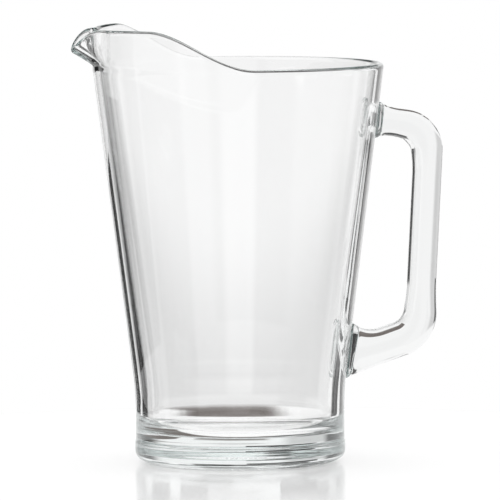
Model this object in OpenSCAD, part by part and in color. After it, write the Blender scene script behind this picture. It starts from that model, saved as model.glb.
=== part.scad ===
// Clear glass beer pitcher.
// A pressed conical body with a heavy foot, a pulled pouring lip and two raised
// weld pads, and a solid bent glass handle whose flat ends sit on those pads.
// The table is z = 0, the spout points to -X and the handle to +X.

/* [Body] */
// Height of the rim above the table
rim_h = 210; // [195:0.5:225]
// Outer radius of the rim
rim_r = 76.8; // [72:0.1:82]
// Outer radius of the straight neck above the foot
neck_r = 55; // [51:0.1:58]
// Height at which the lines of neck and cone cross
neck_h = 37; // [34:0.5:42]
// Radius of the blend from neck to cone
neck_blend_r = 160; // [110:5:200]
// Wall thickness at the rim
rim_wall = 4.2; // [3.8:0.1:5]
// Wall thickness at the neck
neck_wall = 6; // [5.6:0.1:7]
// Thickness of the glass under the floor of the cup
floor_t = 16; // [14:0.2:18]
// Fillet between floor and wall inside the cup
floor_fillet = 10; // [6:0.5:12]

/* [Foot] */
// Outer radius of the heel, the thickest part of the foot
heel_r = 55.4; // [55:0.1:58]
// Height at which the heel runs out into the neck
heel_h = 11.5; // [10:0.5:14]
// Radius of the rounding under the heel
heel_round = 5.6; // [4:0.2:6.2]
// Outer radius of the ring that the pitcher stands on
ring_r = 48.6; // [47:0.1:49.2]
// Inner radius of that ring
ring_inner_r = 44; // [40:0.5:46]
// Height of that ring
ring_h = 0.9; // [0.5:0.1:1.5]
// Depth of the hollow under the base
hollow_d = 2.4; // [1.5:0.1:4]

/* [Pouring lip] */
// Height of the two shoulders of the lip above the rim
crest_h = 19.6; // [15:0.1:22]
// How much the shoulders dip towards the spout
crest_dip = 0.7; // [0.2:0.1:1.5]
// Outward lean of the shoulders, in degrees
crest_lean = 2.5; // [0:0.5:5]
// Angle from the spout at which the shoulders start to fall, in degrees
crest_angle = 41; // [38:1:48]
// Angle from the spout at which the lip has run out into the rim, in degrees
flank_angle = 86; // [80:1:92]
// Depth of the pouring notch below the shoulders
notch_d = 8.7; // [6:0.1:11]
// Half the angle that the notch takes up, in degrees
notch_angle = 11.5; // [10:0.5:14]
// How far the spout leans out beyond the rim
spout_reach = 11.9; // [9:0.1:14]
// Half the angle that the spout takes up, in degrees
spout_angle = 14; // [12:0.5:17]
// Depth of the mould seam under the rim
seam_d = 3.2; // [3:0.1:5]
// Step of the wall at the mould seam
seam_step = 0.15; // [0.1:0.05:0.3]

/* [Weld pads] */
// Height of the centre of the upper pad
upper_pad_h = 179.3; // [172:0.5:184]
// Length of the upper pad along the wall
upper_pad_l = 19; // [17:0.5:22]
// Height of the centre of the lower pad
lower_pad_h = 57.4; // [55:0.5:62]
// Length of the lower pad along the wall
lower_pad_l = 28.6; // [26:0.5:30]
// Tilt of the lower pad's face from upright, in degrees
lower_pad_tilt = 11; // [8:0.5:12]
// Width of both pads
pad_w = 20; // [18:0.5:22]
// How far the pads stand off the wall at their centres
pad_proud = 2.8; // [2.4:0.1:3.6]
// Corner radius of the pads
pad_corner_r = 6.5; // [4:0.5:8]
// Margin of the pads round the ends of the handle
pad_margin = 0.7; // [0.3:0.1:1.2]

/* [Handle] */
// Distance from the upper pad to the middle of the grip
handle_reach = 27; // [25:0.2:32]
// Lean of the grip from upright, in degrees
grip_lean = 3.1; // [0:0.1:5]
// Thickness of the grip, front to back
grip_t = 14.3; // [13:0.1:17]
// Width of the grip, side to side
grip_w = 18.4; // [16:0.1:19]
// Thickness of the lower arm
arm_t = 18.1; // [16:0.1:20]
// Rise of the lower arm towards the grip, in degrees
arm_rise = 17.5; // [14:0.5:22]
// Bend radius at the top of the grip, on its middle line
top_bend_r = 14; // [12:0.5:18]
// Bend radius at the bottom of the grip, on its middle line
bottom_bend_r = 16; // [13:0.5:19]
// Rise of the lower arm as it leaves its pad, in degrees
root_rise = 7; // [5:0.5:10]
// Length of the lower arm before it turns up to the grip
root_l = 12; // [10:0.5:14]
// Length over which the upper arm swells to its pad
upper_flare_l = 10; // [8:0.5:14]
// Length over which the lower arm swells to its pad
lower_flare_l = 18; // [14:0.5:22]

/* [Hidden] */
$fn = 96;
clear_glass = [0.87, 0.93, 0.92, 0.5];

// Depth to which the root of the lip is sunk in the wall under the mould seam
lip_root = 2.5;
// Height above the mould seam at which the spout starts to lean out
spout_foot = 3.5;
// How far the pads reach into the wall behind their edges
pad_key = 0.7;
// Shape of the spout's lean, from its foot to its edge and from its middle to its sides
spout_bow_power = 1.15;
spout_side_power = 1.7;
// Shape of the notch from its middle to its sides
notch_power = 2.5;
// Squareness of the handle's section: 2 is an ellipse, larger is closer to a box
section_power = 3.2;
// Stretch of the handle over which the grip thickens to the lower arm
thicken_shares = [0.62, 0.82];
// Share of the root's length that its bend takes up
root_bend_share = 0.7;

// Counts of steps, and how far the lip's stations crowd towards the spout
blend_steps = 8;
fillet_steps = 8;
hollow_steps = 8;
lip_stations = 120;
lip_crowd_power = 1.6;
lip_rows = 6;
lip_round_steps = 5;
section_points = 28;
bend_steps = 9;
straight_steps = 5;

// General functions
function unit(v) = v / norm(v);
function ease(x) = (1 - cos(180 * min(max(x, 0), 1))) / 2;
function arc(c, r, from, to, steps) =
    [for (i = [0:steps]) let (a = from + (to - from) * i / steps) c + r * [cos(a), sin(a)]];

// Wall of the body: cone lines outside and inside
cone_tilt = atan((rim_r - neck_r) / (rim_h - neck_h));
inner_neck_r = neck_r - neck_wall;
inner_tilt = atan((rim_r - rim_wall - inner_neck_r) / (rim_h - neck_h));
seam_h = rim_h - seam_d;

// Height of the lower end of a blend between a straight neck and a cone
function blend_foot(tilt) = neck_h - neck_blend_r * tan(tilt / 2);
function neck_blend(r, tilt) =
    arc([r + neck_blend_r, blend_foot(tilt)], neck_blend_r, 180, 180 - tilt, blend_steps);
function reversed(list) = [for (i = [len(list) - 1:-1:0]) list[i]];

// Fillet of the cup's floor, which ends where the straight inner wall does
floor_fillet_r = min(floor_fillet, blend_foot(inner_tilt) - floor_t);

// Outer and inner radius of the cone at a height above the blend
function cone_r(z) = neck_r + (z - neck_h) * tan(cone_tilt);
function bore_r(z) = inner_neck_r + (z - neck_h) * tan(inner_tilt);

// Half section of the body below the mould seam, from the standing ring round to the axis
body_outline = concat(
    [[ring_inner_r, 0], [ring_r, 0], [ring_r, ring_h]],
    arc([heel_r - heel_round, ring_h + heel_round], heel_round, -90, 0, fillet_steps),
    [[heel_r, heel_h - (heel_r - neck_r)], [neck_r, heel_h]],
    neck_blend(neck_r, cone_tilt),
    [[cone_r(seam_h), seam_h], [bore_r(seam_h), seam_h]],
    reversed(neck_blend(inner_neck_r, inner_tilt)),
    arc([inner_neck_r - floor_fillet_r, floor_t + floor_fillet_r], floor_fillet_r, 0, -90, fillet_steps),
    [[0, floor_t]],
    [for (i = [0:hollow_steps - 1])
        let (share = i / hollow_steps) [ring_inner_r * share, hollow_d * (1 - share * share)]]
);

// Rim and pouring lip: height above the rim and lean at an angle from the spout
lip_t = rim_wall - 2 * seam_step;
lip_foot_h = seam_h - lip_root;
spout_foot_h = seam_h + spout_foot;
function bell(angle, half_angle, power) = pow(cos(90 * min(angle / half_angle, 1)), power);
function lip_rise(angle) =
    crest_h * (1 - ease((angle - crest_angle) / (flank_angle - crest_angle)))
    - crest_dip * (1 - ease(angle / crest_angle))
    - notch_d * bell(angle, notch_angle, notch_power);
function lip_reach(angle) = spout_reach * bell(angle, spout_angle, spout_side_power);
function lip_top(angle) = rim_h + lip_rise(angle) - lip_t / 2;

// Radius of the lip's middle surface at a height
function lip_r(angle, z) =
    (cone_r(min(z, rim_h)) + bore_r(min(z, rim_h))) / 2
    + max(z - rim_h, 0) * tan(crest_lean)
    + lip_reach(angle)
      * pow(max(z - spout_foot_h, 0) / (lip_top(angle) - spout_foot_h), spout_bow_power);

// Direction up the lip's middle surface, in radius and height
function lip_up(angle, z) =
    let (step = lip_t / lip_rows)
    unit([lip_r(angle, z + step) - lip_r(angle, z - step), 2 * step]);

// Point at a distance across the lip, outward positive
function lip_point(angle, z, across, along) =
    let (up = lip_up(angle, z))
    [lip_r(angle, z), z] + across * [up[1], -up[0]] + along * up;

function lip_row_h(angle, i) = lip_foot_h + (lip_top(angle) - lip_foot_h) * i / lip_rows;

// Closed section of the lip: up its outside, round its edge, down its inside
function lip_section(angle) = concat(
    [for (i = [0:lip_rows]) lip_point(angle, lip_row_h(angle, i), lip_t / 2, 0)],
    [for (i = [1:lip_round_steps - 1])
        let (turn = 180 * i / lip_round_steps)
        lip_point(angle, lip_top(angle), lip_t / 2 * cos(turn), lip_t / 2 * sin(turn))],
    [for (i = [lip_rows:-1:0]) lip_point(angle, lip_row_h(angle, i), -lip_t / 2, 0)]
);

// Triangles between ring i of points and the next, where each ring has the given count
function skin(i, next, count) =
    [for (j = [0:count - 1])
        let (a = i * count + j, b = i * count + (j + 1) % count, shift = (next - i) * count)
        each [[a, b, b + shift], [a, b + shift, a + shift]]];

// Solid through a row of rings, closed by flat ends
module loft(rings) {
    count = len(rings[0]);
    last = len(rings) - 1;
    sides = [for (i = [0:last - 1]) each skin(i, i + 1, count)];
    ends = [[for (j = [count - 1:-1:0]) j], [for (j = [0:count - 1]) last * count + j]];
    polyhedron([for (ring = rings) each ring], concat(sides, ends));
}

// Solid through rings that run round in a circle
module round_loft(rings) {
    count = len(rings[0]);
    last = len(rings) - 1;
    sides = [for (i = [0:last]) each skin(i, (i + 1) % len(rings), count)];
    polyhedron([for (ring = rings) each ring], sides);
}

// Angle from the spout of each station round the lip, closer together at the spout
function lip_angle(i) =
    let (share = 2 * i / lip_stations - 1) 180 * sign(share) * pow(abs(share), lip_crowd_power);

module lip() {
    round_loft([for (i = [0:lip_stations - 1])
        let (angle = lip_angle(i), turn = 180 + angle)
        [for (p = lip_section(abs(angle))) [p[0] * cos(turn), p[0] * sin(turn), p[1]]]]);
}

// Weld pads: middle of each face, in X and Z, and the direction it faces
function facing(tilt) = [cos(tilt), -sin(tilt)];
upper_pad_tilt = cone_tilt;
upper_pad = [cone_r(upper_pad_h), upper_pad_h] + pad_proud * facing(upper_pad_tilt);
lower_pad = [cone_r(lower_pad_h), lower_pad_h] + pad_proud * facing(lower_pad_tilt);

// A pad is deep enough for its edges to reach into the round and tilted wall
function pad_depth(at_h, length, tilt) =
    let (r = cone_r(at_h))
    pad_proud + r - sqrt(r * r - pad_w * pad_w / 4) + length / 2 * tan(tilt - cone_tilt) + pad_key;

module pad(face, at_h, length, tilt) {
    depth = pad_depth(at_h, length, tilt);
    corner = min(pad_corner_r, pad_w / 2, length / 2);
    translate([face[0], 0, face[1]])
        rotate([0, 90 + tilt, 0])
            translate([0, 0, -depth])
                linear_extrude(depth) {
                    square([length, pad_w - 2 * corner], center = true);
                    square([length - 2 * corner, pad_w], center = true);
                    for (sx = [-1, 1], sy = [-1, 1])
                        translate([sx * (length / 2 - corner), sy * (pad_w / 2 - corner)])
                            circle(corner);
                }
}

module pitcher_body() {
    color(clear_glass) {
        rotate_extrude()
            polygon(body_outline);
        lip();
        pad(upper_pad, upper_pad_h, upper_pad_l, upper_pad_tilt);
        pad(lower_pad, lower_pad_h, lower_pad_l, lower_pad_tilt);
    }
}

// Handle: corners of its middle line in X and Z, from the upper pad to the lower pad
grip_top = upper_pad + handle_reach / cos(upper_pad_tilt) * facing(upper_pad_tilt);
grip_down = -[sin(grip_lean), cos(grip_lean)];
arm_root = lower_pad + root_l * [cos(root_rise), sin(root_rise)];
root_bend_r = root_bend_share * root_l / tan((arm_rise - root_rise) / 2);
arm_out = [cos(arm_rise), sin(arm_rise)];
grip_l = cross(arm_root - grip_top, arm_out) / cross(grip_down, arm_out);
grip_foot = grip_top + grip_l * grip_down;

// Arc that rounds the corner at v between p and q
function corner_arc(p, v, q, r) =
    let (
        u = unit(p - v),
        w = unit(q - v),
        half = acos(u * w) / 2,
        c = v + unit(u + w) * r / sin(half),
        start = v + u * r / tan(half) - c,
        from = atan2(start[1], start[0]),
        turn = (180 - 2 * half) * sign(cross(u, w)) * -1
    )
    arc(c, r, from, from + turn, bend_steps);

// Points inside a straight stretch
function stretch(p, q) =
    [for (i = [1:straight_steps - 1]) p + (q - p) * i / straight_steps];

top_bend = corner_arc(upper_pad, grip_top, grip_foot, top_bend_r);
bottom_bend = corner_arc(grip_top, grip_foot, arm_root, bottom_bend_r);
root_bend = corner_arc(grip_foot, arm_root, lower_pad, root_bend_r);
middle_line = concat(
    [upper_pad],
    stretch(upper_pad, top_bend[0]),
    top_bend,
    stretch(top_bend[bend_steps], bottom_bend[0]),
    bottom_bend,
    [(bottom_bend[bend_steps] + root_bend[0]) / 2],
    root_bend,
    [(root_bend[bend_steps] + lower_pad) / 2, lower_pad]
);
line_end = len(middle_line) - 1;

// Distance along the middle line to each of its points
function run_to(i) = i == 0 ? 0 : run_to(i - 1) + norm(middle_line[i] - middle_line[i - 1]);
line_l = run_to(line_end);

// Swelling towards an end: 1 at the end, 0 at the given length from it
function swell(distance, length) = pow(max(1 - distance / length, 0), 2);

function handle_t(run) =
    let (
        share = (run / line_l - thicken_shares[0]) / (thicken_shares[1] - thicken_shares[0]),
        bar = grip_t + (arm_t - grip_t) * ease(share)
    )
    bar
    + (upper_pad_l - 2 * pad_margin - grip_t) * swell(run, upper_flare_l)
    + (lower_pad_l - 2 * pad_margin - arm_t) * swell(line_l - run, lower_flare_l);

function handle_w(run) =
    grip_w + (pad_w - 2 * pad_margin - grip_w)
    * (swell(run, upper_flare_l) + swell(line_l - run, lower_flare_l));

// Rounded box section: signed power of cosine and sine
function rounded(x) = sign(x) * pow(abs(x), 2 / section_power);

// Sections stand square to the middle line, and turn into the plane of the lower pad at that end
function handle_ring(i) =
    let (
        path = unit(middle_line[min(i + 1, line_end)] - middle_line[max(i - 1, 0)]),
        end = swell(line_l - run_to(i), lower_flare_l),
        along = unit(path * (1 - end) - facing(lower_pad_tilt) * end),
        out = [-along[1], along[0]],
        t = handle_t(run_to(i)) / 2,
        w = handle_w(run_to(i)) / 2
    )
    [for (j = [0:section_points - 1])
        let (
            a = 360 * j / section_points,
            p = middle_line[i] + out * t * rounded(cos(a))
        )
        [p[0], w * rounded(sin(a)), p[1]]];

module handle() {
    color(clear_glass)
        loft([for (i = [0:line_end]) handle_ring(i)]);
}

pitcher_body();
handle();
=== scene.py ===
"""Clear glass beer pitcher in a white studio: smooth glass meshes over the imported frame."""
from collections import namedtuple
import math

import bpy
from mathutils import Matrix, Vector


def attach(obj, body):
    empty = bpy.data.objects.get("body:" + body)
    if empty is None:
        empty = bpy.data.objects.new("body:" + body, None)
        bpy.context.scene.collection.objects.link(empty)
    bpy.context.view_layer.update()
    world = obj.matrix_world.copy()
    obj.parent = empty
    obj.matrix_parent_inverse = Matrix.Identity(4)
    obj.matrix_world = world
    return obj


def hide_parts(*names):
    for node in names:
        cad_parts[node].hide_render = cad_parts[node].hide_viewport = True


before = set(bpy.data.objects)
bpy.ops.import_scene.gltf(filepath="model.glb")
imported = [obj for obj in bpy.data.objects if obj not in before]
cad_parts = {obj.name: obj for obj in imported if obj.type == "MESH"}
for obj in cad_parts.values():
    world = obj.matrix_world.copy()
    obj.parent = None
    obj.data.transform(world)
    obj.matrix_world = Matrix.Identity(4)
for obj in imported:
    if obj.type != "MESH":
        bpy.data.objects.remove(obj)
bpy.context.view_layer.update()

# Body, in metres: the sizes of the part's source
RIM_H = 0.210
RIM_R = 0.0768
NECK_R = 0.055
NECK_H = 0.037
NECK_BLEND_R = 0.160
RIM_WALL = 0.0042
NECK_WALL = 0.006
FLOOR_T = 0.016
FLOOR_FILLET = 0.010
HEEL_R = 0.0554
HEEL_H = 0.0115
HEEL_ROUND = 0.0056
RING_R = 0.0486
RING_INNER_R = 0.044
RING_H = 0.0009
HOLLOW_D = 0.0024

# Pouring lip: lengths in metres, angles in degrees
CREST_H = 0.0196
CREST_DIP = 0.0007
CREST_LEAN = 2.5
CREST_ANGLE = 41
FLANK_ANGLE = 86
NOTCH_D = 0.0087
NOTCH_ANGLE = 11.5
NOTCH_POWER = 2.5
SPOUT_REACH = 0.0119
SPOUT_ANGLE = 14
SEAM_D = 0.0032
SEAM_STEP = 0.00015
SEAM_SOFT = 0.003
SPOUT_FOOT = 0.0035
SPOUT_BOW_POWER = 1.15
SPOUT_SIDE_POWER = 1.7

# Weld pads
UPPER_PAD_H = 0.1793
UPPER_PAD_L = 0.019
LOWER_PAD_H = 0.0574
LOWER_PAD_L = 0.0286
LOWER_PAD_TILT = 11
PAD_W = 0.020
PAD_PROUD = 0.0028
PAD_CORNER_R = 0.0065
PAD_MARGIN = 0.0007

# Handle
HANDLE_REACH = 0.027
GRIP_LEAN = 3.1
GRIP_T = 0.0143
GRIP_W = 0.0184
ARM_T = 0.0181
ARM_RISE = 17.5
ROOT_RISE = 7
ROOT_L = 0.012
TOP_BEND_R = 0.014
BOTTOM_BEND_R = 0.016
UPPER_FLARE_L = 0.010
LOWER_FLARE_L = 0.018
SECTION_POWER = 3.2
THICKEN_SHARES = (0.62, 0.82)
ROOT_BEND_SHARE = 0.7

# Softness that hot glass has and the plain solids lack
CREASE_SOFT = 0.0009      # rounding of the crease under the spout
PAD_SHOULDER = 0.0008     # rounding of the pads' edges, inside their outline
PAD_FOOT = 0.0009         # flow of the pads into the wall, outside their outline
CORNER_SOFT = 0.0003      # rounding of the standing ring's corners
END_ROUND = 0.0010        # rounding of the handle's ends
BEND_FILL = 0.0025        # glass gathered inside the top bend
BEND_FILL_L = 0.024       # how far that runs along the bar, both ways from the middle of the bend
WELD_GAP = 0.00006        # optical gap left between the handle's ends and the pads
KNURL_COUNT = 160         # ridges round the standing ring
KNURL_D = 0.0004          # depth of the knurl

# Mesh: points round the body where it is fine and where it is plain, and round the handle
FINE = 4 * KNURL_COUNT
PLAIN = FINE // 2
HANDLE_POINTS = 72

# Mesh: distances between rows, in metres
WALL_PITCH = 0.004
PAD_PITCH = 0.00045
HANDLE_PITCH = 0.0011

# Mesh: steps along the curves
RING_STEPS = 12
RING_EDGE_STEPS = 3
HEEL_STEPS = 16
HEEL_SIDE_STEPS = 8
NECK_STEP_STEPS = 6
LIP_STEPS = 20
LIP_EDGE_STEPS = 14
CUP_STEPS = 52
FILLET_STEPS = 18
TOP_BEND_STEPS = 26
BOTTOM_BEND_STEPS = 24
ROOT_BEND_STEPS = 14

# Mesh: points in each row from the axis out, on the underside and on the cup's floor
DISC_COUNTS = [PLAIN // 8, PLAIN // 4, PLAIN // 2] + [PLAIN] * 15

# Wall of the body
CONE_TAN = (RIM_R - NECK_R) / (RIM_H - NECK_H)
INNER_NECK_R = NECK_R - NECK_WALL
BORE_TAN = (RIM_R - RIM_WALL - INNER_NECK_R) / (RIM_H - NECK_H)
SEAM_H = RIM_H - SEAM_D
LIP_T = RIM_WALL - 2 * SEAM_STEP
SPOUT_FOOT_H = SEAM_H + SPOUT_FOOT
SLOPE_STEP = LIP_T / 12   # half the height over which the lip's slope is taken


def ease(x):
    """Smooth step from 0 to 1."""
    return (1 - math.cos(math.pi * min(max(x, 0), 1))) / 2


def soft_ramp(x, softness):
    """x above zero and 0 below it, with a rounded corner."""
    return (x + math.hypot(x, softness)) / 2


def spread(start, end, steps):
    """Evenly spaced values from start to end, both included."""
    return [start + (end - start) * i / steps for i in range(steps + 1)]


def cone_r(z):
    return NECK_R + (z - NECK_H) * CONE_TAN


def bore_r(z):
    return INNER_NECK_R + (z - NECK_H) * BORE_TAN


def blended_r(z, neck_r, slope):
    """Radius of a straight neck that blends into a cone."""
    tilt = math.atan(slope)
    foot = NECK_H - NECK_BLEND_R * math.tan(tilt / 2)
    rise = z - foot
    if rise <= 0:
        return neck_r
    if rise < NECK_BLEND_R * math.sin(tilt):
        return neck_r + NECK_BLEND_R - math.sqrt(NECK_BLEND_R ** 2 - rise ** 2)
    return neck_r + (z - NECK_H) * slope


# Pouring lip, at an angle from the spout in degrees
def bell(angle, half_angle, power):
    return max(math.cos(math.radians(90 * min(angle / half_angle, 1))), 0) ** power


def lip_top(angle):
    rise = CREST_H * (1 - ease((angle - CREST_ANGLE) / (FLANK_ANGLE - CREST_ANGLE)))
    rise -= CREST_DIP * (1 - ease(angle / CREST_ANGLE))
    rise -= NOTCH_D * bell(angle, NOTCH_ANGLE, NOTCH_POWER)
    return RIM_H + rise - LIP_T / 2


def lip_r(angle, z):
    """Radius of the lip's middle surface at a height."""
    below_rim = min(z, RIM_H)
    r = (cone_r(below_rim) + bore_r(below_rim)) / 2
    r += max(z - RIM_H, 0) * math.tan(math.radians(CREST_LEAN))
    if angle < SPOUT_ANGLE:
        reach = SPOUT_REACH * bell(angle, SPOUT_ANGLE, SPOUT_SIDE_POWER)
        lean_share = soft_ramp(z - SPOUT_FOOT_H, CREASE_SOFT) / (lip_top(angle) - SPOUT_FOOT_H)
        r += reach * lean_share ** SPOUT_BOW_POWER
    return r


def lip_point(angle, z, across, along=0.0):
    """Radius and height of a point at a distance across the lip, outward positive, and along it."""
    lean = lip_r(angle, z + SLOPE_STEP) - lip_r(angle, z - SLOPE_STEP)
    up = Vector((lean, 2 * SLOPE_STEP)).normalized()
    return (
        lip_r(angle, z) + across * up.y + along * up.x,
        z - across * up.x + along * up.y,
    )


# Weld pads: place in X and Z, direction they face and direction up their faces
class Pad:
    def __init__(self, height, length, tilt):
        self.facing = Vector((math.cos(tilt), -math.sin(tilt)))
        self.up = Vector((math.sin(tilt), math.cos(tilt)))
        self.middle = Vector((cone_r(height), height)) + PAD_PROUD * self.facing
        self.length = length
        self.corner = min(PAD_CORNER_R, PAD_W / 2, length / 2)

    def raised(self, point):
        """A point of the wall, lifted to the pad's face where it lies under the pad."""
        offset = Vector((point.x, point.z)) - self.middle
        over_l = abs(offset.dot(self.up)) - (self.length / 2 - self.corner)
        over_w = abs(point.y) - (PAD_W / 2 - self.corner)
        outside = math.hypot(max(over_l, 0), max(over_w, 0)) + min(max(over_l, over_w), 0)
        outside -= self.corner
        share = 1 - ease((outside + PAD_SHOULDER) / (PAD_SHOULDER + PAD_FOOT))
        lift = -share * offset.dot(self.facing) * self.facing
        return Vector((point.x + lift.x, point.y, point.z + lift.y))


upper_pad = Pad(UPPER_PAD_H, UPPER_PAD_L, math.atan(CONE_TAN))
lower_pad = Pad(LOWER_PAD_H, LOWER_PAD_L, math.radians(LOWER_PAD_TILT))


# Rows of points round the axis: a row is a list of points at even angles from the handle
def round_row(count, place):
    """Row whose radius and height come from place, a function of the angle in degrees."""
    row = []
    for k in range(count):
        turn = 2 * math.pi * k / count
        r, z = place(math.degrees(turn))
        row.append(Vector((r * math.cos(turn), r * math.sin(turn), z)))
    return row


def plain_row(r, z, count=PLAIN):
    return round_row(count, lambda angle: (r, z))


def arc_rows(centre_r, centre_z, radius, start, end, steps):
    """Rows along an arc of the half section, with its angles in degrees."""
    rows = []
    for angle in spread(start, end, steps):
        turn = math.radians(angle)
        rows.append(plain_row(centre_r + radius * math.cos(turn), centre_z + radius * math.sin(turn)))
    return rows


def underside_rows():
    """From the axis under the base out to the standing ring."""
    rows = []
    for i, count in enumerate(DISC_COUNTS):
        share = (i + 1) / (len(DISC_COUNTS) + 1)
        rows.append(plain_row(RING_INNER_R * share, HOLLOW_D * (1 - share ** 2), count))
    return rows


def ring_rows():
    """Standing ring with a fine radial knurl between its plain edges."""
    def knurled(r, inset):
        def place(angle):
            ridge = (1 - math.cos(math.radians(KNURL_COUNT * angle))) / 2
            depth = KNURL_D * ridge * ease(inset / (2 * CORNER_SOFT))
            return r, depth
        return round_row(FINE, place)

    middle = (RING_INNER_R + RING_R) / 2
    half = (RING_R - RING_INNER_R) / 2
    rows = []
    for share in spread(-1, 1, RING_STEPS):
        r = middle + half * math.sin(share * math.pi / 2) * (1 - CORNER_SOFT / half)
        rows.append(knurled(r, half - abs(r - middle)))
    rows += arc_rows(RING_R - CORNER_SOFT, CORNER_SOFT, CORNER_SOFT, -60, 0, RING_EDGE_STEPS)
    rows.append(plain_row(RING_R, RING_H - CORNER_SOFT))
    rows.append(plain_row(RING_R + CORNER_SOFT / 3, RING_H - CORNER_SOFT / 3))
    return rows


def heel_rows():
    """Round underside of the heel, its side and the step to the neck."""
    rows = arc_rows(HEEL_R - HEEL_ROUND, RING_H + HEEL_ROUND, HEEL_ROUND, -90, 0, HEEL_STEPS)
    step = HEEL_R - NECK_R
    side_top = HEEL_H - step
    rows += [plain_row(HEEL_R, z) for z in spread(RING_H + HEEL_ROUND, side_top, HEEL_SIDE_STEPS)[1:]]
    rows += [
        plain_row(NECK_R + step * (1 - ease(share)), side_top + 2 * step * share)
        for share in spread(0, 1, NECK_STEP_STEPS)[1:]
    ]
    return rows


def wall_rows():
    """Outer wall from the heel to the mould seam, with the two pads raised on it."""
    margin = 2 * PAD_FOOT
    bands = []
    start = HEEL_H + (HEEL_R - NECK_R)
    for pad in (lower_pad, upper_pad):
        half = pad.length / 2 * pad.up.y + margin
        centre = pad.middle.y - PAD_PROUD * pad.facing.y
        bands.append((start, centre - half, WALL_PITCH, PLAIN))
        bands.append((centre - half, centre + half, PAD_PITCH, FINE))
        start = centre + half
    bands.append((start, SEAM_H - SEAM_SOFT / 2, WALL_PITCH, PLAIN))
    rows = []
    for low, high, pitch, count in bands:
        steps = max(round((high - low) / pitch), 1)
        for z in spread(low, high, steps)[1:]:
            row = plain_row(blended_r(z, NECK_R, CONE_TAN), z, count)
            for pad in (lower_pad, upper_pad):
                row = [pad.raised(p) if p.x > 0 else p for p in row]
            rows.append(row)
    return rows


def lip_rows():
    """Outside of the lip from the mould seam, round its edge and down its inside."""
    def at(level, side, along=0.0):
        def place(angle):
            from_spout = abs(180 - angle)
            z = SEAM_H + (lip_top(from_spout) - SEAM_H) * level
            thicker = SEAM_STEP * (1 - ease((z - SEAM_H) / SEAM_SOFT))
            return lip_point(from_spout, z, (LIP_T / 2 + thicker) * side, along)
        return round_row(FINE, place)

    half = LIP_T / 2
    levels = spread(0, 1, LIP_STEPS)
    rows = [at(level, 1) for level in levels]
    for turn in spread(0, math.pi, LIP_EDGE_STEPS)[1:-1]:
        rows.append(at(1, math.cos(turn), half * math.sin(turn)))
    rows += [at(level, -1) for level in reversed(levels)]
    return rows


def cup_rows():
    """Inner wall from the mould seam down to the fillet, then the flat floor to the axis."""
    fillet_r = INNER_NECK_R - FLOOR_FILLET
    fillet_z = FLOOR_T + FLOOR_FILLET
    rows = [
        plain_row(blended_r(z, INNER_NECK_R, BORE_TAN), z)
        for z in spread(SEAM_H - SEAM_SOFT / 2, fillet_z, CUP_STEPS)
    ]
    rows += arc_rows(fillet_r, fillet_z, FLOOR_FILLET, 0, -90, FILLET_STEPS)[1:]
    for i, count in enumerate(reversed(DISC_COUNTS)):
        rows.append(plain_row(fillet_r * (1 - (i + 1) / (len(DISC_COUNTS) + 1)), FLOOR_T, count))
    return rows


def stitched(rows, first_pole, last_pole):
    """Points and faces of a closed skin over rows, each as fine as the next, or twice or half as fine."""
    points = [first_pole]
    starts = []
    for row in rows:
        starts.append(len(points))
        points += row
    points.append(last_pole)
    count = len(rows[0])
    faces = [(0, starts[0] + (k + 1) % count, starts[0] + k) for k in range(count)]
    for i in range(len(rows) - 1):
        m, n = len(rows[i]), len(rows[i + 1])

        def a(k):
            return starts[i] + k % m

        def b(k):
            return starts[i + 1] + k % n

        for k in range(min(m, n)):
            if m == n:
                faces.append((a(k), a(k + 1), b(k + 1), b(k)))
            elif m == 2 * n:
                faces += [(a(2 * k), a(2 * k + 1), b(k)), (a(2 * k + 1), b(k + 1), b(k)),
                          (a(2 * k + 1), a(2 * k + 2), b(k + 1))]
            else:
                faces += [(a(k), b(2 * k + 1), b(2 * k)), (a(k), a(k + 1), b(2 * k + 1)),
                          (a(k + 1), b(2 * k + 2), b(2 * k + 1))]
    count, last = len(rows[-1]), len(points) - 1
    faces += [(starts[-1] + k, starts[-1] + (k + 1) % count, last) for k in range(count)]
    return points, faces


def make_piece(name, points, faces, material, cad_node, slot):
    """Smooth mesh that stands for a CAD node."""
    mesh = bpy.data.meshes.new(name)
    mesh.from_pydata(points, [], faces)
    mesh.polygons.foreach_set("use_smooth", [True] * len(mesh.polygons))
    mesh.materials.append(material)
    mesh.update()
    piece = bpy.data.objects.new(name, mesh)
    bpy.context.scene.collection.objects.link(piece)
    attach(piece, "root")
    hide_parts(cad_node)


# Handle: middle line in X and Z from the upper pad to the lower pad
def corner_arc(before, corner, after, radius, steps):
    """Points on the arc that rounds a corner."""
    u, w = (before - corner).normalized(), (after - corner).normalized()
    half = u.angle(w) / 2
    centre = corner + (u + w).normalized() * radius / math.sin(half)
    first = corner + u * radius / math.tan(half) - centre
    turn = (math.pi - 2 * half) * (-1 if u.x * w.y - u.y * w.x > 0 else 1)
    points = []
    for t in spread(0, turn, steps):
        x = first.x * math.cos(t) - first.y * math.sin(t)
        y = first.x * math.sin(t) + first.y * math.cos(t)
        points.append(centre + Vector((x, y)))
    return points


def cut_straight(start, end):
    """Points between two ends, without them."""
    steps = max(round((end - start).length / HANDLE_PITCH), 1)
    return [start + (end - start) * i / steps for i in range(1, steps)]


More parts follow.
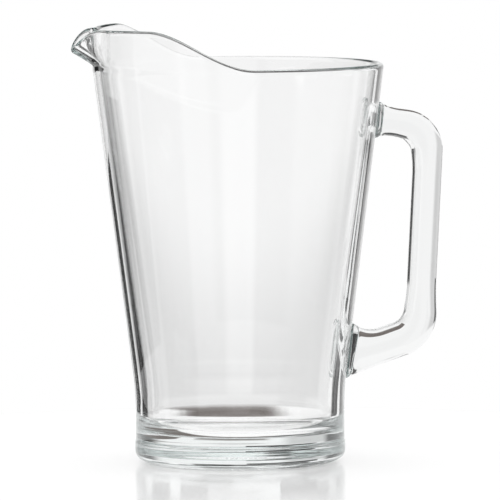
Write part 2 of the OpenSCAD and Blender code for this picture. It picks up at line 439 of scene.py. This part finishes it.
def handle_line():
    """Points of the middle line, and the number of the one in the middle of the top bend."""
    down = -Vector((math.sin(math.radians(GRIP_LEAN)), math.cos(math.radians(GRIP_LEAN))))
    out = Vector((math.cos(math.radians(ARM_RISE)), math.sin(math.radians(ARM_RISE))))
    grip_top = upper_pad.middle + HANDLE_REACH / upper_pad.facing.x * upper_pad.facing
    rise = math.radians(ROOT_RISE)
    arm_root = lower_pad.middle + ROOT_L * Vector((math.cos(rise), math.sin(rise)))
    gap = arm_root - grip_top
    grip_l = (gap.x * out.y - gap.y * out.x) / (down.x * out.y - down.y * out.x)
    grip_foot = grip_top + grip_l * down
    root_bend_r = ROOT_BEND_SHARE * ROOT_L / math.tan(math.radians(ARM_RISE - ROOT_RISE) / 2)
    top = corner_arc(upper_pad.middle, grip_top, grip_foot, TOP_BEND_R, TOP_BEND_STEPS)
    bottom = corner_arc(grip_top, grip_foot, arm_root, BOTTOM_BEND_R, BOTTOM_BEND_STEPS)
    root = corner_arc(grip_foot, arm_root, lower_pad.middle, root_bend_r, ROOT_BEND_STEPS)
    start = upper_pad.middle + WELD_GAP * upper_pad.facing
    end = lower_pad.middle + WELD_GAP * lower_pad.facing
    line = [start] + cut_straight(start, top[0])
    bend_at = len(line) + len(top) // 2
    line += top
    line += cut_straight(top[-1], bottom[0]) + bottom
    line += cut_straight(bottom[-1], root[0]) + root
    return line + cut_straight(root[-1], end) + [end], bend_at


def swell(distance, length):
    """1 at an end of the handle, 0 at the given length from it."""
    return max(1 - distance / length, 0) ** 2


def rounded(x):
    """Signed power that turns a circle into a rounded box."""
    return math.copysign(abs(x) ** (2 / SECTION_POWER), x)


def handle_skin():
    """Points and faces of the solid handle, with softly rounded flat ends."""
    line, bend_at = handle_line()
    runs = [0.0]
    for p, q in zip(line, line[1:]):
        runs.append(runs[-1] + (q - p).length)
    total = runs[-1]

    def section(i, inset):
        run = runs[i]
        before, after = line[max(i - 1, 0)], line[min(i + 1, len(line) - 1)]
        turn = swell(total - run, LOWER_FLARE_L)
        along = ((after - before).normalized() * (1 - turn) - lower_pad.facing * turn).normalized()
        share = (run / total - THICKEN_SHARES[0]) / (THICKEN_SHARES[1] - THICKEN_SHARES[0])
        top, foot = swell(run, UPPER_FLARE_L), swell(total - run, LOWER_FLARE_L)
        thick = GRIP_T + (ARM_T - GRIP_T) * ease(share)
        thick += (UPPER_PAD_L - 2 * PAD_MARGIN - GRIP_T) * top
        thick += (LOWER_PAD_L - 2 * PAD_MARGIN - ARM_T) * foot
        wide = GRIP_W + (PAD_W - 2 * PAD_MARGIN - GRIP_W) * (top + foot)
        fill = BEND_FILL * ease(1 - abs(run - runs[bend_at]) / BEND_FILL_L)
        row = []
        for j in range(HANDLE_POINTS):
            a = -2 * math.pi * j / HANDLE_POINTS
            side = rounded(math.cos(a))
            reach = (thick / 2 - inset + (fill if side < 0 else 0)) * side
            p = line[i] + Vector((-along.y, along.x)) * reach
            row.append(Vector((p.x, (wide / 2 - inset) * rounded(math.sin(a)), p.y)))
        return row

    def inset_at(i):
        """How far the rounded ends draw the section in."""
        near = min(runs[i], total - runs[i])
        if near >= END_ROUND:
            return 0.0
        return END_ROUND - math.sqrt(END_ROUND ** 2 - (END_ROUND - near) ** 2)

    cap_inset = (GRIP_T / 2 - END_ROUND) / 2
    rows = [section(0, cap_inset)] + [section(i, inset_at(i)) for i in range(len(line))]
    rows.append(section(len(line) - 1, cap_inset))
    ends = [Vector((p.x, 0, p.y)) for p in (line[0], line[-1])]
    return stitched(rows, *ends)


# Camera, in metres, with its lens and sensor in millimetres
CAMERA_YAW = math.radians(-11.17)
CAMERA_DISTANCE = 4.0
CAMERA_H = 0.4123
CAMERA_LENS = 548.6
CAMERA_SENSOR = 36
CAMERA_CLIP = 20
CAMERA_ROLL = math.radians(0.33)
AIM_X = 0.0057
AIM_Z = 0.11149

# Limits between whole numbers of times that a ray met glass
CROSSED_TWICE = 2.5
REFLECTED = 0.5


def bearing(degrees_left):
    """Level direction at an angle to the left of where the camera looks."""
    a = CAMERA_YAW + math.radians(degrees_left)
    return Vector((-math.sin(a), math.cos(a), 0))


# Nodes
def node(tree, kind, **values):
    """New node with attributes by name and input values by socket name."""
    made = tree.nodes.new(kind)
    for name, value in values.items():
        if hasattr(made, name):
            setattr(made, name, value)
        else:
            made.inputs[name.replace("_", " ")].default_value = value
    return made


class Graph:
    """Arithmetic in a node tree, on sockets and plain numbers."""

    def __init__(self, tree):
        self.tree = tree
        self.path = node(tree, "ShaderNodeLightPath").outputs

    def set(self, socket, value):
        if isinstance(value, (int, float)):
            socket.default_value = value
        else:
            self.tree.links.new(value, socket)

    def math(self, operation, first, second=0.0):
        made = node(self.tree, "ShaderNodeMath", operation=operation)
        self.set(made.inputs[0], first)
        self.set(made.inputs[1], second)
        return made.outputs[0]

    def combine(self, operation, values):
        total = values[0]
        for value in values[1:]:
            total = self.math(operation, total, value)
        return total

    def product(self, *values):
        return self.combine("MULTIPLY", values)

    def inverse(self, mask):
        return self.math("SUBTRACT", 1.0, mask)

    def ramp(self, value, start, end):
        """0 at start, 1 at end, smooth between them and level beyond both."""
        made = node(self.tree, "ShaderNodeMapRange", interpolation_type="SMOOTHSTEP")
        made.inputs["From Min"].default_value = start
        made.inputs["From Max"].default_value = end
        self.set(made.inputs["Value"], value)
        return made.outputs["Result"]

    def between(self, value, low, high, softness):
        """1 between low and high, 0 beyond the softness outside them."""
        return self.product(self.ramp(value, low - softness, low), self.ramp(value, high + softness, high))

    def choose(self, test, off, on):
        """off where test is 0, on where it is 1."""
        made = node(self.tree, "ShaderNodeMix", data_type="FLOAT")
        self.set(made.inputs["Factor"], test)
        self.set(made.inputs["A"], off)
        self.set(made.inputs["B"], on)
        return made.outputs["Result"]

    def mix(self, factor, first, second):
        """First shader where factor is 0, second where it is 1."""
        made = node(self.tree, "ShaderNodeMixShader")
        self.set(made.inputs[0], factor)
        self.tree.links.new(first.outputs[0], made.inputs[1])
        self.tree.links.new(second.outputs[0], made.inputs[2])
        return made

    def along(self, vector, degrees_left):
        """Share of a vector that points towards a bearing."""
        dot = node(self.tree, "ShaderNodeVectorMath", operation="DOT_PRODUCT")
        dot.inputs[1].default_value = bearing(degrees_left)
        self.tree.links.new(vector, dot.inputs[0])
        return dot.outputs["Value"]

    def entered(self):
        """1 for rays that have crossed more than two faces of glass, else 0."""
        return self.math("GREATER_THAN", self.path["Transmission Depth"], CROSSED_TWICE)

    def ray_kinds(self):
        """Masks of the rays that glass sends on.

        through: straight on, across more than two faces; solid: straight on, across one or two;
        turned: also reflected on the way; mirrored: off the skin.
        """
        passed = self.path["Is Transmission Ray"]
        turned = self.math("GREATER_THAN", self.path["Glossy Depth"], REFLECTED)
        straight = self.product(passed, self.inverse(turned))
        entered = self.entered()
        sharp = self.product(self.path["Is Glossy Ray"], self.path["Is Singular Ray"])
        return {
            "through": self.product(straight, entered),
            "solid": self.product(straight, self.inverse(entered)),
            "turned": self.product(passed, turned),
            "mirrored": self.product(sharp, self.inverse(passed)),
        }

    def shown_rays(self):
        """1 for rays from the camera and for rays that gloss or glass sends on, else 0."""
        return self.combine("MAXIMUM", [self.path[name] for name in
                                        ("Is Camera Ray", "Is Glossy Ray", "Is Transmission Ray")])


def empty_material(name):
    """New material without nodes, its node tree and its graph."""
    material = bpy.data.materials.new(name)
    material.use_nodes = True
    tree = material.node_tree
    tree.nodes.clear()
    return material, tree, Graph(tree)


# Glass: its optics, then three noises with their scales per metre
GLASS_IOR = 1.52
DEPTH_COLOR = (0.45, 0.74, 0.71, 1)
DEPTH_DENSITY = 0.9
BUMP_D = 0.0003
RIPPLE_SCALE = 55.0            # faint ripple everywhere
RIPPLE_STRENGTH = 0.02
CHILL_SCALE = 170.0            # stronger ripple where the mould chilled the foot
CHILL_TOP = 0.085              # height where it starts
CHILL_FULL = 0.03              # height where it is full
BODY_CHILL = 0.15
HANDLE_CHILL = 0.0
WEAR_SCALE = 400.0             # scuffs on the standing ring
WEAR_SHARE = (0.4, 0.7)        # noise where they start and where they are full
WEAR_ROUGHNESS = 0.3
BODY_STRETCH = (1, 1, 0.2)     # ripples drawn out along the wall
HANDLE_STRETCH = (1, 1, 0.5)   # ripples drawn out along the grip


def glass_material(name, stretch, chill_strength):
    """Clear glass with a ripple that can grow towards the foot, a worn ring and a green depth."""
    material, tree, graph = empty_material(name)
    link = tree.links.new
    output = node(tree, "ShaderNodeOutputMaterial")
    shader = node(tree, "ShaderNodeBsdfPrincipled", Base_Color=(1, 1, 1, 1), IOR=GLASS_IOR,
                  Transmission_Weight=1.0)
    depth = node(tree, "ShaderNodeVolumeAbsorption", Color=DEPTH_COLOR, Density=DEPTH_DENSITY)
    place = node(tree, "ShaderNodeTexCoord").outputs["Object"]
    split = node(tree, "ShaderNodeSeparateXYZ")
    mapping = node(tree, "ShaderNodeMapping", Scale=stretch)
    ripple = node(tree, "ShaderNodeTexNoise", Scale=RIPPLE_SCALE, Detail=2.0)
    chill = node(tree, "ShaderNodeTexNoise", Scale=CHILL_SCALE, Detail=1.0)
    wear = node(tree, "ShaderNodeTexNoise", Scale=WEAR_SCALE, Detail=3.0)
    link(place, split.inputs[0])
    link(place, mapping.inputs["Vector"])
    link(place, wear.inputs["Vector"])
    link(mapping.outputs["Vector"], ripple.inputs["Vector"])
    link(mapping.outputs["Vector"], chill.inputs["Vector"])
    height = split.outputs["Z"]

    faint = node(tree, "ShaderNodeBump", Strength=RIPPLE_STRENGTH, Distance=BUMP_D)
    link(ripple.outputs["Fac"], faint.inputs["Height"])
    strong = node(tree, "ShaderNodeBump", Distance=BUMP_D)
    graph.set(strong.inputs["Strength"],
              graph.product(graph.ramp(height, CHILL_TOP, CHILL_FULL), chill_strength))
    link(chill.outputs["Fac"], strong.inputs["Height"])
    link(faint.outputs["Normal"], strong.inputs["Normal"])
    link(strong.outputs["Normal"], shader.inputs["Normal"])

    worn = graph.product(graph.ramp(height, RING_H, KNURL_D), graph.ramp(wear.outputs["Fac"], *WEAR_SHARE))
    graph.set(shader.inputs["Roughness"], graph.product(worn, WEAR_ROUGHNESS))
    link(shader.outputs["BSDF"], output.inputs["Surface"])
    link(depth.outputs["Volume"], output.inputs["Volume"])
    return material


body_points, body_faces = stitched(
    underside_rows() + ring_rows() + heel_rows() + wall_rows() + lip_rows() + cup_rows(),
    Vector((0, 0, HOLLOW_D)),
    Vector((0, 0, FLOOR_T)),
)
make_piece("pitcher_body_glass", body_points, body_faces,
           glass_material("body_glass", BODY_STRETCH, BODY_CHILL), "pitcher_body", "body_glass")
make_piece("handle_glass", *handle_skin(),
           glass_material("handle_glass", HANDLE_STRETCH, HANDLE_CHILL), "handle", "handle_glass")

# Light: one soft lamp above, and the level of the white studio as light
LAMP_PLACE = (0.0, 0.3, 1.6)
LAMP_SIZE = 1.4
LAMP_POWER = 2.0
STUDIO_LIGHT = 0.75
BOUNCES = 64

# Dark places of the studio by direction, which only glass shows, by the kind of ray that sees them.
# zone: middle bearing to the left of where the camera looks, half width and softness; band: lowest and
# highest angle above the horizon and softness, or every angle; clear: zone left out. All in degrees.
Dark = namedtuple("Dark", "zone level band clear", defaults=(None, None))
ABOUT_LEVEL = (-13, 4, 3)
SIDE_ON = (-7, 14, 2)
DARKS = {
    "through": {
        "near rim": Dark(zone=(0, 30, 4), band=(-55, -22.5, 1), level=0.03),
        "foot of the cup": Dark(zone=(2, 10, 8), band=(-8.5, -6.2, 1.6), level=0.78),
        "sides of the cup": Dark(zone=(-5, 40, 8), clear=(-8, 16, 3), level=0.87),
    },
    "solid": {
        "outer edge of the grip": Dark(zone=(32, 10, 8), band=ABOUT_LEVEL, level=0.66),
        "left of the studio": Dark(zone=(80, 32, 8), band=SIDE_ON, level=0.1),
        "right of the studio": Dark(zone=(-85, 35, 14), band=SIDE_ON, level=0.1),
        "inside of the top bend": Dark(zone=(-18, 14, 5), band=(30, 50, 5), level=0.1),
        "upper arm, dark": Dark(zone=(-4, 9, 4), band=(25, 40, 3), level=0.05),
        "upper arm, grey": Dark(zone=(15, 12, 4), band=(40, 60, 4), level=0.4),
    },
    "turned": {
        "walls, narrow on the left": Dark(zone=(30, 1.5, 1), band=ABOUT_LEVEL, level=0.4),
        "walls, dark on the left": Dark(zone=(39.5, 7, 1.5), band=ABOUT_LEVEL, level=0.02),
        "walls, grey on the left": Dark(zone=(50, 4, 2), band=ABOUT_LEVEL, level=0.6),
        "walls, near on the right": Dark(zone=(-19, 5.5, 2), band=ABOUT_LEVEL, level=0.0),
        "walls, far on the right": Dark(zone=(-39.5, 7, 1.5), band=ABOUT_LEVEL, level=0.0),
        "grip": Dark(zone=(108, 18, 6), band=(-25, 10, 5), level=0.1),
        "lower arm": Dark(zone=(58, 31, 5), band=(10, 42, 4), level=0.05),
        "welds and foot, on the left": Dark(zone=(110, 50, 8), band=(-4, 60, 5), level=0.05),
        "welds and foot, on the right": Dark(zone=(-110, 50, 8), band=(-4, 60, 5), level=0.3),
        "spout": Dark(zone=(-11, 7, 3), band=(-17, -5, 2), level=0.1),
        "foot, above the horizon": Dark(zone=(-5, 8, 4), band=(18, 32, 4), level=0.15),
        "foot, below the horizon": Dark(zone=(8, 22, 4), band=(-40, -15, 3), level=0.05),
    },
    "mirrored": {
        "room behind the camera": Dark(zone=(192, 32, 8), level=0.4),
        "left of the studio": Dark(zone=(66, 22, 3), level=0.05),
        "edge of the handle": Dark(zone=(27, 6, 3), band=ABOUT_LEVEL, level=0.05),
        "inside of the top bend": Dark(zone=(5, 7, 3), band=(-18, -8, 3), level=0.05),
        "edges that face up": Dark(zone=(0, 50, 8), band=(17, 44, 4), level=0.1),
    },
}

# Level of the studio outside these places, for each kind of ray
WHITE = {"through": 1.0, "solid": 0.93, "turned": 1.0, "mirrored": 1.0}

# Table, in metres: a round pale top with a soft gloss, just under the standing ring
TABLE_R = 0.29
TABLE_POINTS = 96
TABLE_DROP = 0.0002
TABLE_COLOR = (0.8, 0.8, 0.8, 1)
TABLE_FILL = 0.45
TABLE_GLOSS = 0.42
TABLE_ROUGHNESS = 0.14
TABLE_WHITE_R = 0.125          # how far rays through the cup find it white

# Painted shadows of the pitcher on the table, which only glass shows: a fan and three spots, one under the
# base, by distance behind the axis and to its left: lowest, highest and softness. The fan widens to the
# left as it runs back.
TABLE_SHADOW_PAINT_COLOR = (0.13, 0.11, 0.1, 1)
ShadowSpot = namedtuple("ShadowSpot", "behind left")
RIGHT_SHADOW_SPOT = ShadowSpot(behind=(0.115, 0.195, 0.012), left=(-0.135, -0.038, 0.004))
MIDDLE_SHADOW_SPOT = ShadowSpot(behind=(0.155, 0.225, 0.015), left=(-0.02, 0.01, 0.006))
UNDER_SHADOW_SPOT = ShadowSpot(behind=(-0.031, 0.04, 0.002), left=(-0.014, 0.06, 0.004))
FAN_START = (0.072, 0.08)      # each pair: where the fan is clear and where it is full
FAN_END = (0.27, 0.12)
FAN_RIGHT = (-0.034, -0.014)
FAN_LEFT = (-0.002, -0.022)
FAN_SLANT = 0.4
FAN_SLANT_START = 0.12


def make_camera():
    data = bpy.data.cameras.new("camera")
    data.lens = CAMERA_LENS
    data.sensor_width = CAMERA_SENSOR
    data.clip_end = CAMERA_CLIP
    camera = bpy.data.objects.new("camera", data)
    right, forward = bearing(-90), bearing(0)
    place = right * AIM_X - forward * CAMERA_DISTANCE + Vector((0, 0, CAMERA_H))
    view = (right * AIM_X + Vector((0, 0, AIM_Z)) - place).normalized()
    up = right.cross(view)
    turned_right = right * math.cos(CAMERA_ROLL) - up * math.sin(CAMERA_ROLL)
    turned_up = turned_right.cross(view)
    camera.matrix_world = Matrix((turned_right, turned_up, -view)).transposed().to_4x4()
    camera.location = place
    scene.collection.objects.link(camera)
    scene.camera = camera


class Surroundings(Graph):
    """Levels of the studio by direction."""

    def __init__(self, tree):
        super().__init__(tree)
        direction = node(tree, "ShaderNodeTexCoord").outputs["Generated"]
        split = node(tree, "ShaderNodeSeparateXYZ")
        tree.links.new(direction, split.inputs[0])
        self.height = split.outputs["Z"]
        level = node(tree, "ShaderNodeVectorMath", operation="MULTIPLY")
        level.inputs[1].default_value = (1, 1, 0)
        flat = node(tree, "ShaderNodeVectorMath", operation="NORMALIZE")
        tree.links.new(direction, level.inputs[0])
        tree.links.new(level.outputs["Vector"], flat.inputs[0])
        self.flat = flat.outputs["Vector"]

    def zone(self, centre, half_width, softness):
        """1 inside a zone of bearings, 0 outside it."""
        turn = self.math("ARCCOSINE", self.along(self.flat, centre))
        return self.ramp(turn, math.radians(half_width + softness), math.radians(half_width))

    def band(self, low, high, softness):
        """1 inside a band of angles above the horizon, 0 outside it."""
        def sine(degrees):
            return math.sin(math.radians(degrees))
        above = self.ramp(self.height, sine(low - softness), sine(low))
        return self.product(above, self.ramp(self.height, sine(high + softness), sine(high)))

    def mask(self, dark):
        """1 inside a dark place, 0 outside it."""
        masks = [self.zone(*dark.zone)]
        if dark.band:
            masks.append(self.band(*dark.band))
        if dark.clear:
            masks.append(self.inverse(self.zone(*dark.clear)))
        return self.product(*masks)

    def level(self, white, darks):
        """White level, lowered in each dark place."""
        return self.product(white, *[self.choose(self.mask(dark), 1.0, dark.level) for dark in darks])


def make_world():
    """White studio, whose dark places show only in glass and draw its edges."""
    world = bpy.data.worlds.new("studio")
    scene.world = world
    world.use_nodes = True
    tree = world.node_tree
    tree.nodes.clear()
    output = node(tree, "ShaderNodeOutputWorld")
    background = node(tree, "ShaderNodeBackground", Color=(1, 1, 1, 1))
    sky = Surroundings(tree)
    value = sky.choose(sky.path["Is Glossy Ray"], STUDIO_LIGHT, 1.0)
    for kind, mask in sky.ray_kinds().items():
        value = sky.choose(mask, value, sky.level(WHITE[kind], DARKS[kind].values()))
    value = sky.choose(sky.path["Is Camera Ray"], value, 1.0)
    sky.set(background.inputs["Strength"], value)
    tree.links.new(background.outputs[0], output.inputs["Surface"])


def table_material():
    """Pale and softly glossy, white where no shadow falls; rays through glass find painted shadows of the
    pitcher on it.
    """
    material, tree, graph = empty_material("floor")
    link = tree.links.new
    output = node(tree, "ShaderNodeOutputMaterial")
    paint = node(tree, "ShaderNodeBsdfDiffuse", Color=TABLE_COLOR)
    fill = node(tree, "ShaderNodeEmission", Color=(1, 1, 1, 1))
    graph.set(fill.inputs["Strength"], graph.product(graph.shown_rays(), TABLE_FILL))
    matt = node(tree, "ShaderNodeAddShader")
    link(paint.outputs[0], matt.inputs[0])
    link(fill.outputs[0], matt.inputs[1])
    gloss = node(tree, "ShaderNodeBsdfGlossy", Color=(1, 1, 1, 1), Roughness=TABLE_ROUGHNESS)
    top = graph.mix(TABLE_GLOSS, matt, gloss)

    place = node(tree, "ShaderNodeNewGeometry").outputs["Position"]
    behind, left = graph.along(place, 0), graph.along(place, 90)
    rays, entered = graph.ray_kinds(), graph.entered()

    def inside(spot, mask):
        return graph.product(mask, graph.between(behind, *spot.behind), graph.between(left, *spot.left))

    # Painted shadow of the pitcher on the table, a fan and spots, shown only to rays through glass
    slant = graph.product(graph.math("MAXIMUM", behind, FAN_SLANT_START), FAN_SLANT)
    fan = graph.product(
        entered,
        graph.ramp(behind, *FAN_START),
        graph.ramp(behind, *FAN_END),
        graph.ramp(left, *FAN_RIGHT),
        graph.ramp(graph.math("SUBTRACT", left, slant), *FAN_LEFT),
    )
    dark = graph.combine("MAXIMUM", [
        fan,
        inside(RIGHT_SHADOW_SPOT, rays["solid"]),
        inside(MIDDLE_SHADOW_SPOT, graph.inverse(entered)),
        inside(UNDER_SHADOW_SPOT, rays["turned"]),
    ])
    reach = node(tree, "ShaderNodeVectorMath", operation="LENGTH")
    link(place, reach.inputs[0])
    near = graph.product(rays["through"], graph.math("LESS_THAN", reach.outputs["Value"], TABLE_WHITE_R))
    clear = node(tree, "ShaderNodeBsdfTransparent")
    white = node(tree, "ShaderNodeEmission", Color=(1, 1, 1, 1))
    # Dark emission that paints the pitcher's shadow on the table
    painted_shadow = node(tree, "ShaderNodeEmission", Color=TABLE_SHADOW_PAINT_COLOR)
    through_glass = graph.mix(dark, graph.mix(near, clear, white), painted_shadow)
    shown = graph.mix(graph.path["Is Transmission Ray"], top, through_glass)
    link(shown.outputs[0], output.inputs["Surface"])
    return material


def flat_object(name, corners, material):
    """Object with one flat face."""
    mesh = bpy.data.meshes.new(name)
    mesh.from_pydata(corners, [], [tuple(range(len(corners)))])
    mesh.materials.append(material)
    made = bpy.data.objects.new(name, mesh)
    scene.collection.objects.link(made)
    return made


def make_floor():
    turns = [2 * math.pi * k / TABLE_POINTS for k in range(TABLE_POINTS)]
    edge = [Vector((TABLE_R * math.cos(turn), TABLE_R * math.sin(turn), 0)) for turn in turns]
    floor = flat_object("floor", edge, table_material())
    floor.location.z = -TABLE_DROP


def make_card(name, behind, left, height, level, kind):
    """Card behind the pitcher, shown only by one kind of rays.

    It stands upright where behind is one distance, and lies flat where height is one.
    """
    upright = isinstance(behind, float)
    corners = []
    for side, end in ((0, 0), (1, 0), (1, 1), (0, 1)):
        depth, rise = (behind, height[end]) if upright else (behind[end], height)
        corners.append(bearing(0) * depth + bearing(90) * left[side] + Vector((0, 0, rise)))
    material, tree, graph = empty_material(name)
    output = node(tree, "ShaderNodeOutputMaterial")
    paper = node(tree, "ShaderNodeEmission", Color=(1, 1, 1, 1), Strength=level)
    shown = graph.mix(graph.ray_kinds()[kind], node(tree, "ShaderNodeBsdfTransparent"), paper)
    tree.links.new(shown.outputs[0], output.inputs["Surface"])
    card = flat_object(name, corners, material)
    card.visible_camera = False
    card.visible_glossy = False
    card.visible_diffuse = False
    card.visible_shadow = False


def make_lamp(name, place, size, power):
    """Square soft lamp that faces the middle of the pitcher."""
    data = bpy.data.lights.new(name, "AREA")
    data.size = size
    data.energy = power
    lamp = bpy.data.objects.new(name, data)
    lamp.location = place
    lamp.rotation_euler = (Vector((0, 0, RIM_H / 2)) - Vector(place)).to_track_quat("-Z", "Y").to_euler()
    lamp.visible_glossy = False
    lamp.visible_transmission = False
    scene.collection.objects.link(lamp)


scene = bpy.context.scene
scene.view_settings.view_transform = "Standard"
scene.cycles.max_bounces = BOUNCES
scene.cycles.transmission_bounces = BOUNCES
scene.cycles.glossy_bounces = BOUNCES

make_camera()
make_world()
make_floor()
# White cards that keep false dark lines off the far rim
make_card("rim_card", behind=(0.07, 1.0), left=(-0.5, 0.5), height=0.185, level=1.0, kind="through")
make_card("far_rim_card", behind=(0.07, 0.2), left=(-0.05, 0.06), height=0.184, level=0.95, kind="solid")
# Dark cards low behind the pitcher, to its left
make_card("side_card", behind=0.4, left=(0.09, 0.243), height=(-0.05, 0.105), level=0.02, kind="turned")
make_card("weld_card", behind=0.2, left=(0.005, 0.1), height=(0.03, 0.085), level=0.01, kind="solid")
make_lamp("overhead_lamp", LAMP_PLACE, LAMP_SIZE, LAMP_POWER)
